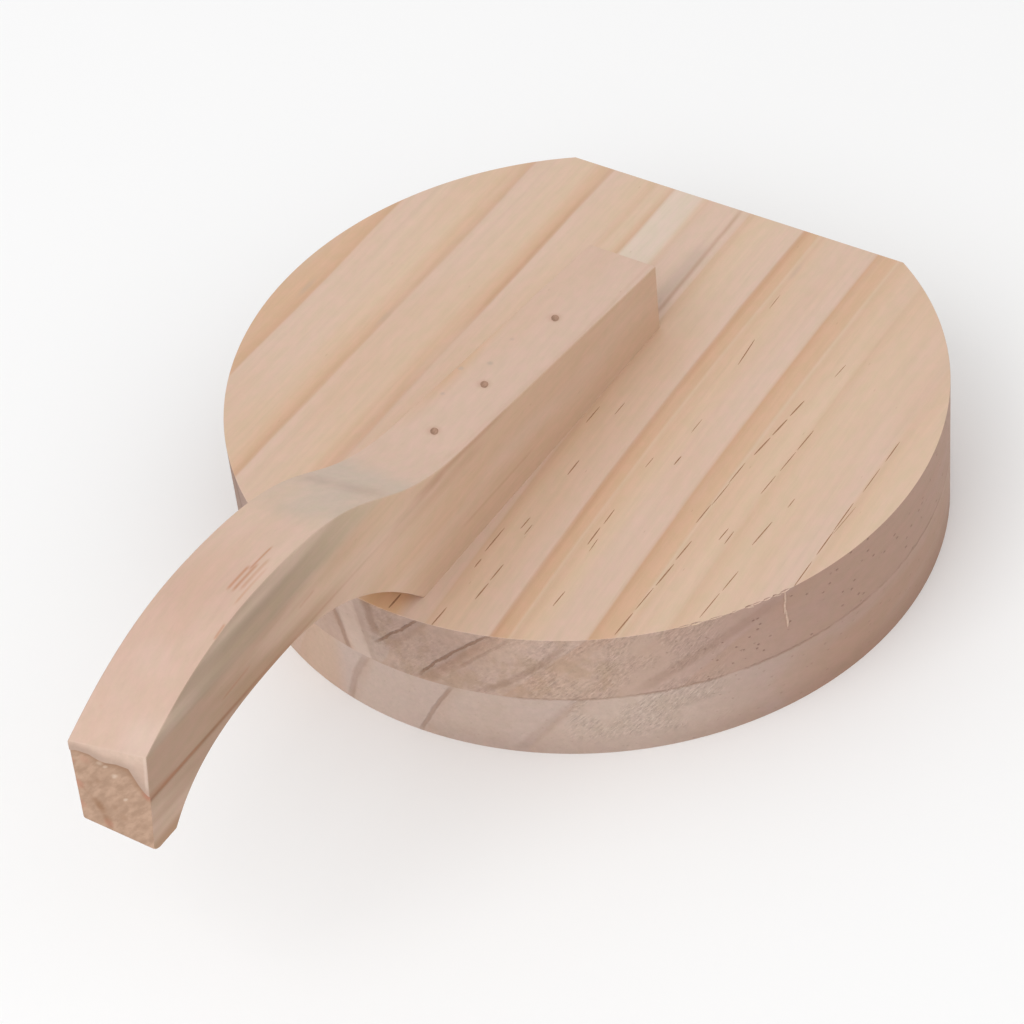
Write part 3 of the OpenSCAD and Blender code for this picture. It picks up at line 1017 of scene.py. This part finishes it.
def lens(start, end, across, up, wood):
    """A thin pointed lens between two places in mm: a streak of resin, a nick or a splinter."""
    start = Vector(start) * MM
    end = Vector(end) * MM
    run = end - start
    nothing_selected()
    bpy.ops.mesh.primitive_uv_sphere_add(segments=LENS_STEPS, ring_count=LENS_STEPS, radius=0.5)
    shape = bpy.context.object
    shape.scale = (across * MM, up * MM, run.length)
    shape.rotation_mode = "QUATERNION"
    shape.rotation_quaternion = run.to_track_quat("Z", "Y")
    shape.location = (start + end) / 2
    place_in_mesh(shape)
    shape.data.materials.append(wood)
    return shape


# A streak is a row of lenses. Each one starts and ends at a share of its own stretch, steps
# aside by some mm, and is as wide as a share of the streak's width.
STREAK_PIECE = 9
STREAK_START = (0, 0.12)
STREAK_END = (0.85, 1.1)
STREAK_STEP = (-0.16, 0.16)
STREAK_WIDTH = (0.65, 1.0)
STREAK_DEPTH = 0.5


def broken_streak(start, end, width, wood):
    """A streak as the plane leaves it: a row of lenses with small gaps and side steps."""
    start = Vector(start)
    end = Vector(end)
    length = (end - start).length
    pieces = max(1, round(length / STREAK_PIECE))
    row = []
    for number in range(pieces):
        first = (number + random.uniform(*STREAK_START)) / pieces
        last = (number + random.uniform(*STREAK_END)) / pieces
        step = Vector((random.uniform(*STREAK_STEP), 0, 0))
        thin = width * random.uniform(*STREAK_WIDTH)
        row.append(lens(
            start.lerp(end, first) + step,
            start.lerp(end, last) + step,
            thin,
            thin * STREAK_DEPTH,
            wood,
        ))
    return row


# Resin streaks on the lid: x and y at the back end, x and y at the front end, and width
LID_STREAKS = [
    (27.0, 50, 27.2, 43, 0.25), (29.8, 33, 31.0, 21, 0.36), (33.0, 1, 33.1, -5, 0.25),
    (29.5, -16, 29.5, -20, 0.25), (35.0, -12.5, 35.0, -16, 0.42), (30.2, -35, 31.0, -50, 0.36),
    (32.0, -46, 32.4, -51, 0.25), (34.5, -64, 34.5, -71, 0.40), (17.0, -63, 17.2, -77, 0.36),
    (14.0, -25, 14.2, -31, 0.32), (13.0, -2, 13.0, -8, 0.28), (8.5, -6, 8.6, -13, 0.30),
    (10.5, -53, 10.7, -62, 0.34), (11.3, -64, 11.4, -68, 0.34), (14.0, -47, 14.0, -52, 0.28),
    (16.0, -49, 16.1, -53, 0.25), (12.8, -81, 12.8, -88, 0.42), (1.2, -82.5, 1.2, -88, 0.60),
    (51.7, 18, 50.2, -5, 0.42), (49.8, -7, 49.8, -32, 0.34), (52.0, -36, 51.6, -71, 0.40),
    (58.8, 10, 58.4, -17, 0.34), (57.5, -29, 57.4, -34, 0.28), (59.0, -29, 59.2, -35, 0.32),
    (65.2, -22, 64.8, -33, 0.32), (66.3, -13, 66.3, -17, 0.32), (66.3, -40, 66.0, -57, 0.36),
    (78.7, 16, 79.3, -4, 0.28), (79.0, -8, 80.0, -39, 0.30), (80.2, -9, 79.8, -20, 0.25),
    (54.3, 34, 54.0, 28, 0.22),
]
# Splinters that stand off the rim of the lid: angle from the front, half the angle that they
# lie along, heights, and thickness in mm
RIM_SPLINTERS = [
    (62.5, 0, 37.8, 33.6, 0.55), (62.35, 0, 34.6, 30.4, 0.60), (62.6, 0, 31.8, 28.2, 0.50),
    (62.75, 0, 29.4, 26.0, 0.60), (56.6, 0.7, 37.9, 37.3, 0.45), (61.2, 0.7, 37.9, 37.4, 0.40),
]
# Nicks in the lid's top edge: angle from the front, how far round they run, how deep they go
# into the rim in mm, and how high they are as a share of that
NICK_ANGLES = (45.5, 47.2, 50.1, 51.3, 53.6, 55.8, 56.9, 58.8, 60.4, 61.7)
NICK_RUN = (0.7, 1.8)
NICK_DEPTH = (0.3, 0.8)
NICK_HEIGHT = 1.3


def on_rim(angle, height):
    """A place on the rim, from an angle in degrees from the front towards the right."""
    turn = math.radians(angle)
    radius = BOARD_R / MM
    return (radius * math.sin(turn), -radius * math.cos(turn), height)


def lid_board():
    """The lid, with its resin streaks and nicks cut out and the splinters of its split rim."""
    board = round_board("lid", LID_LOW, LID_HIGH, pine_lid)
    top = LID_TOP / MM
    cutters = []
    for x, back, front_x, front, width in LID_STREAKS:
        cutters += broken_streak((x, back, top), (front_x, front, top), width, resin)
    for angle in NICK_ANGLES:
        start = on_rim(angle, top)
        end = on_rim(angle + random.uniform(*NICK_RUN), top)
        deep = random.uniform(*NICK_DEPTH)
        cutters.append(lens(start, end, deep, deep * NICK_HEIGHT, pine_lid))
    cut(board, cutters, crossing=True)
    splinters = []
    for angle, lean, high, low, width in RIM_SPLINTERS:
        start = on_rim(angle - lean, high)
        end = on_rim(angle + lean, low)
        splinters.append(lens(start, end, width, width, splinter_wood))
    join(board, splinters)
    shade(board)
    return board


def lower_board():
    """The lower board, in the place of its solid."""
    board = round_board("bottom_board", LOWER_LOW, LOWER_HIGH, pine_lower)
    shade(board)
    return board


# Side view of the handle, in mm along Y and above the lid
NECK = Vector((-58, 28.6))
CREST = Vector((-136, 51.4))
END_TOP = Vector((-180.4, 38.7))
END_BOTTOM = Vector((-182.8, 13.5))
TOE = Vector((-174.5, 13.5))
TOE_ROUND = 2.6
ROUND_GUIDE = 0.55
HOLLOW = Vector((-131, 27.6))
HEEL = Vector((-81.5, 0))
TAIL_TOP = Vector((25.5, 19.7))
TAIL_BOTTOM = Vector((25.5, 0))
STRAIGHT = Vector((0, 0))
CURVE_STEPS = 40
# How far the guides of its curves reach, and which way they run
NECK_GUIDE = 38
CREST_GUIDE_BACK = Vector((46, 0))
CREST_GUIDE_FRONT = Vector((-18, 0))
DROOP_BACK = 0.87
DROOP_UP = 0.49
END_GUIDE = 15
TOE_GUIDE = 15
HEEL_GUIDE = 20
STEEP = Vector((0.64, 0.77))
STEEP_BACK = Vector((-0.64, 0.77))
HOLLOW_GUIDE = Vector((21, 0))


def handle_outline():
    """Corners and curves round the handle: a place, and the guides before and after it."""
    back_slope = (NECK - TAIL_TOP).normalized()
    end_up = (END_TOP - END_BOTTOM).normalized() * TOE_ROUND
    toe_back = (TOE - END_BOTTOM).normalized() * TOE_ROUND
    return [
        (TAIL_BOTTOM, STRAIGHT, STRAIGHT),
        (TAIL_TOP, STRAIGHT, STRAIGHT),
        (NECK, STRAIGHT, back_slope * NECK_GUIDE),
        (CREST, CREST_GUIDE_BACK, CREST_GUIDE_FRONT),
        (END_TOP, Vector((DROOP_BACK, DROOP_UP)).normalized() * END_GUIDE, STRAIGHT),
        (END_BOTTOM + end_up, STRAIGHT, end_up * -ROUND_GUIDE),
        (END_BOTTOM + toe_back, toe_back * -ROUND_GUIDE, STRAIGHT),
        (TOE, STRAIGHT, STEEP.normalized() * TOE_GUIDE),
        (HOLLOW, -HOLLOW_GUIDE, HOLLOW_GUIDE),
        (HEEL, STEEP_BACK.normalized() * HEEL_GUIDE, STRAIGHT),
    ]


def sawn_shape(name, corners, half_thickness):
    """A solid sawn to an outline of places and guides in mm, flat on the XY plane."""
    nothing_selected()
    bpy.ops.curve.primitive_bezier_curve_add()
    blank = bpy.context.object
    blank.name = name
    outline = blank.data
    outline.dimensions = "2D"
    outline.fill_mode = "BOTH"
    outline.resolution_u = CURVE_STEPS
    outline.extrude = half_thickness
    spline = outline.splines[0]
    spline.use_cyclic_u = True
    spline.bezier_points.add(len(corners) - len(spline.bezier_points))
    for knot, (place, before, after) in zip(spline.bezier_points, corners):
        knot.handle_left_type = "FREE" if before.length else "VECTOR"
        knot.handle_right_type = "FREE" if after.length else "VECTOR"
        knot.co = (place * MM).to_3d()
        knot.handle_left = ((place + before) * MM).to_3d()
        knot.handle_right = ((place + after) * MM).to_3d()
    make_active(blank)
    bpy.ops.object.convert(target="MESH")
    return bpy.context.object


def stand(blank, rotation, location):
    """Stands a sawn blank in its place, and makes it one clean closed solid."""
    blank.rotation_euler = rotation
    blank.location = location
    place_in_mesh(blank)
    bpy.ops.object.mode_set(mode="EDIT")
    bpy.ops.mesh.select_all(action="SELECT")
    bpy.ops.mesh.remove_doubles(threshold=MERGED)
    bpy.ops.mesh.normals_make_consistent(inside=False)
    bpy.ops.mesh.dissolve_limited(angle_limit=LEVEL)
    bpy.ops.object.mode_set(mode="OBJECT")


def sawn_handle():
    """The handle sawn to its outline, stood upright on the lid, with its edges eased."""
    blank = sawn_shape("goose_neck_handle", handle_outline(), HANDLE_HALF)
    upright = (math.pi / 2, 0, math.pi / 2)
    stand(blank, upright, (HANDLE_MIDDLE, 0, LID_TOP))
    ease_sharp_edges(blank, HANDLE_EDGE, LID_TOP)
    return blank


def end_plane(height):
    """Where the handle's sawn end lies along Y, at a height above the lid."""
    share = (height - END_BOTTOM.y) / (END_TOP.y - END_BOTTOM.y)
    return END_BOTTOM.x + (END_TOP.x - END_BOTTOM.x) * share


def torn_end_cutter():
    """A slab that takes the torn part of the end off, below the torn edge."""
    left = TORN_EDGE[0][0]
    right = TORN_EDGE[-1][0]
    places = [*TORN_EDGE, (right, 0), (left, 0)]
    corners = [(Vector(place), STRAIGHT, STRAIGHT) for place in places]
    slab = sawn_shape("torn_end_cutter", corners, SLAB_HALF * MM)
    lean = math.atan2(END_TOP.x - END_BOTTOM.x, END_TOP.y - END_BOTTOM.y)
    foot = (end_plane(0) + TORN_DEPTH - SLAB_HALF / math.cos(lean)) * MM
    stand(slab, (math.pi / 2 - lean, 0, 0), (0, foot, LID_TOP))
    slab.data.materials.append(torn_end)
    return slab


# The free end was sawn off askew: its upper edge runs further out on the left. In mm: how far
# its two corners slide, how far all of it does, how far back that is felt, and from what height.
SKEW = 1.65
SKEW_MEAN = -0.15
SKEW_REACH = 12
SKEW_FOOT = 16
END_STRIPS = 7


def near_end_cut(piece, place, direction):
    """New edges across the faces of the free end, on one plane."""
    mesh = bmesh.from_edit_mesh(piece.data)
    limit = (END_TOP.x + SKEW_REACH) * MM
    for face in mesh.faces:
        face.select_set(all(corner.co.y < limit for corner in face.verts))
    bmesh.update_edit_mesh(piece.data)
    bpy.ops.mesh.bisect(plane_co=place, plane_no=direction)


def skew_end(piece):
    """Slides the upper part of the free end out on the left and in on the right."""
    make_active(piece)
    bpy.ops.object.mode_set(mode="EDIT")
    bpy.ops.mesh.select_mode(type="FACE")
    for number in range(1, END_STRIPS):
        share = number / END_STRIPS
        aside = HANDLE_LOW.x + HANDLE_HALF * 2 * share
        height = LID_TOP + (SKEW_FOOT + (END_TOP.y - SKEW_FOOT) * share) * MM
        near_end_cut(piece, (aside, 0, 0), (1, 0, 0))
        near_end_cut(piece, (0, 0, height), (0, 0, 1))
    bpy.ops.object.mode_set(mode="OBJECT")
    for corner in piece.data.vertices:
        height = (corner.co.z - LID_TOP) / MM
        inside = corner.co.y / MM - end_plane(height)
        near = max(0, 1 - max(0, inside) / SKEW_REACH) ** 2
        share = min(1, max(0, (height - SKEW_FOOT) / (END_TOP.y - SKEW_FOOT)))
        aside = (corner.co.x - HANDLE_MIDDLE) / HANDLE_HALF
        slide = (SKEW_MEAN - SKEW * aside) * near * share * MM
        corner.co.y -= slide * DROOP_BACK
        corner.co.z -= slide * DROOP_UP * share ** 3


def back_slope_height(y):
    """Height of the handle's straight back part above the lid, in mm."""
    share = (TAIL_TOP.x - y) / (TAIL_TOP.x - NECK.x)
    return TAIL_TOP.y + (NECK.y - TAIL_TOP.y) * share


# Dents over the brads: places along Y, size, how far their middle stands above the wood
BRAD_PLACES = (-5.5, -36.5, -57.5)
BRAD_DENT = Vector((1.9, 2.8, 1.9)) * MM
DENT_ABOVE = 0.1
DENT_TURN = math.radians(35)


def brad_hole(y):
    """A cutter for the small dent that the hammer left over a brad."""
    top = LID_TOP / MM + back_slope_height(y)
    nothing_selected()
    bpy.ops.mesh.primitive_uv_sphere_add(
        segments=24,
        ring_count=16,
        radius=0.5,
        location=(HANDLE_MIDDLE, y * MM, (top + DENT_ABOVE) * MM),
        rotation=(0, 0, DENT_TURN),
        scale=BRAD_DENT,
    )
    hole = bpy.context.object
    place_in_mesh(hole)
    hole.data.materials.append(brad_dent)
    return hole


def handle():
    """The handle with its torn end, its brad dents and its askew end."""
    piece = sawn_handle()
    piece.data.materials.append(pine_handle)
    cutters = [torn_end_cutter()]
    cutters += [brad_hole(y) for y in BRAD_PLACES]
    cut(piece, cutters, crossing=False)
    skew_end(piece)
    shade(piece)
    return piece


lid = lid_board()
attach(lid, "lid")
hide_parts("lid_board")

bottom = lower_board()
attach(bottom, "base")
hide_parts("lower_board")

goose_neck = handle()
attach(goose_neck, "lid")
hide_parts("handle")

METAL_PARTS = {
    "brads": brad_steel,
    "pin": pin_steel,
    "leaf": hinge_brass,
    "screws": screw_brass,
}
for name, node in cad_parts.items():
    for ending, finish in METAL_PARTS.items():
        if name.endswith(ending):
            node.data.materials.clear()
            node.data.materials.append(finish)


# ---------------------------------------------------------------- studio

def white_floor():
    """A plain pale floor under the press."""
    nothing_selected()
    bpy.ops.mesh.primitive_plane_add(size=FLOOR_SIZE, location=(0, 0, 0))
    floor = bpy.context.object
    floor.name = "floor"
    paint = new_paint("pale_floor")
    floor.data.materials.append(paint.set(Base_Color=FLOOR_WHITE, Roughness=FLOOR_ROUGHNESS))


def soft_light(place, size, watts):
    """A square lamp that shines at the middle of the press."""
    nothing_selected()
    aim = (-Vector(place)).to_track_quat("-Z", "Y")
    bpy.ops.object.light_add(type="AREA", location=place, rotation=aim.to_euler())
    lamp = bpy.context.object.data
    lamp.size = size
    lamp.energy = watts


def light_tent(level, lean):
    """White light from all round, a little brighter on the right than on the left."""
    world = bpy.data.worlds.new("light_tent")
    bpy.context.scene.world = world
    paint = Paint(world, "Background")
    direction = paint.node("ShaderNodeTexCoord", {}, {}, "Generated")
    rightward = paint.axes(direction)[0]
    paint.set(Color=PLAIN_WHITE, Strength=level * (1 + rightward * lean))


def add_camera():
    """The camera looks along its azimuth and elevation, and is a little rolled."""
    azimuth = math.radians(CAMERA_AZIMUTH)
    elevation = math.radians(CAMERA_ELEVATION)
    to_camera = Vector((
        math.sin(azimuth) * math.cos(elevation),
        -math.cos(azimuth) * math.cos(elevation),
        math.sin(elevation),
    ))
    turn = (
        Matrix.Rotation(azimuth, 4, "Z")
        @ Matrix.Rotation(math.pi / 2 - elevation, 4, "X")
        @ Matrix.Rotation(math.radians(CAMERA_ROLL), 4, "Z")
    )
    nothing_selected()
    bpy.ops.object.camera_add(
        location=CAMERA_AIM + to_camera * CAMERA_DISTANCE,
        rotation=turn.to_euler(),
    )
    camera = bpy.context.object
    camera.data.lens = CAMERA_LENS
    bpy.context.scene.camera = camera


white_floor()
soft_light(LAMP_PLACE, LAMP_SIZE, LAMP_WATTS)
light_tent(TENT_LEVEL, TENT_LEAN)
add_camera()
bpy.context.scene.view_settings.view_transform = "Standard"
